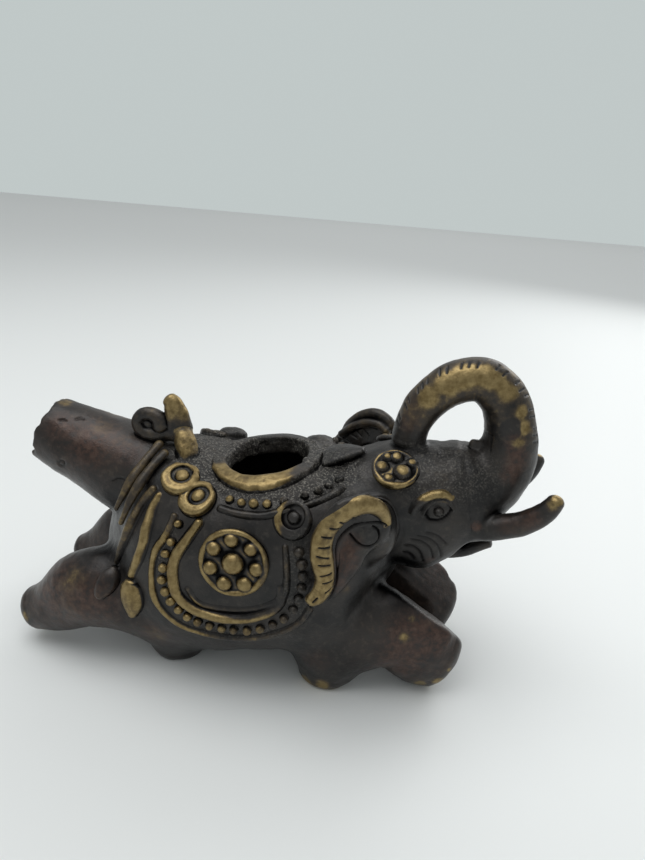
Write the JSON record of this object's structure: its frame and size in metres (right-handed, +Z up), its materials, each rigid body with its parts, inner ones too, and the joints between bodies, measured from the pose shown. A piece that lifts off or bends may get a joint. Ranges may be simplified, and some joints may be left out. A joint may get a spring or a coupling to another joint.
{
  "type": "water dropper",
  "caption": "Kneeling caparisoned elephant of cast bronze with an open mouth on its back and a pouring tube at the rump; a desk vessel that gives water in drops.",
  "frame": {"origin": "centre of the footprint's bounding box, on the plane that the figure kneels on", "axes": "+X towards the elephant's head, +Y to the elephant's left, +Z up"},
  "size_m": [0.122, 0.0578, 0.0785],
  "materials": {
    "dark_bronze": "cast bronze with a dark brown-black patina, satin, granular where the tool left it rough",
    "brown_bronze": "cast bronze, reddish-brown patina rubbed smooth by handling",
    "golden_bronze": "high spots rubbed through the patina to olive-gold bronze"
  },
  "bodies": {
    "root": {"bead_row_left": "golden_bronze", "bead_row_right": "golden_bronze", "body_shell": "dark_bronze", "boss_front_left": "golden_bronze", "boss_front_right": "golden_bronze", "boss_middle_left": "golden_bronze", "boss_middle_right": "golden_bronze", "boss_rear_left": "golden_bronze", "boss_rear_right": "golden_bronze", "brow_left": "golden_bronze", "brow_right": "golden_bronze", "collar_band_left": "golden_bronze", "collar_band_right": "golden_bronze", "collar_point": "dark_bronze", "ear_left": "brown_bronze", "ear_right": "brown_bronze", "ear_rim_left": "golden_bronze", "ear_rim_right": "golden_bronze", "eye_left": "dark_bronze", "eye_right": "dark_bronze", "flank_rosette_left": "golden_bronze", "flank_rosette_right": "golden_bronze", "foreleg_left": "brown_bronze", "foreleg_right": "brown_bronze", "head": "dark_bronze", "head_rosette_left": "golden_bronze", "head_rosette_right": "golden_bronze", "hindleg_left": "brown_bronze", "hindleg_right": "brown_bronze", "inner_cord_left": "golden_bronze", "inner_cord_right": "golden_bronze", "knot_curl": "dark_bronze", "knot_horn": "golden_bronze", "knot_stub": "golden_bronze", "lower_lip": "dark_bronze", "mouth_rim": "golden_bronze", "outer_cord_left": "golden_bronze", "outer_cord_right": "golden_bronze", "pouring_tube": "brown_bronze", "strap_first_left": "dark_bronze", "strap_first_right": "dark_bronze", "strap_fourth_left": "golden_bronze", "strap_fourth_right": "golden_bronze", "strap_second_left": "dark_bronze", "strap_second_right": "dark_bronze", "strap_third_left": "dark_bronze", "strap_third_right": "dark_bronze", "tassel_fourth_left": "golden_bronze", "tassel_fourth_right": "golden_bronze", "tassel_third_left": "dark_bronze", "tassel_third_right": "dark_bronze", "trunk": "brown_bronze", "tusk_left": "brown_bronze", "tusk_right": "brown_bronze"}
  },
  "joints": []
}
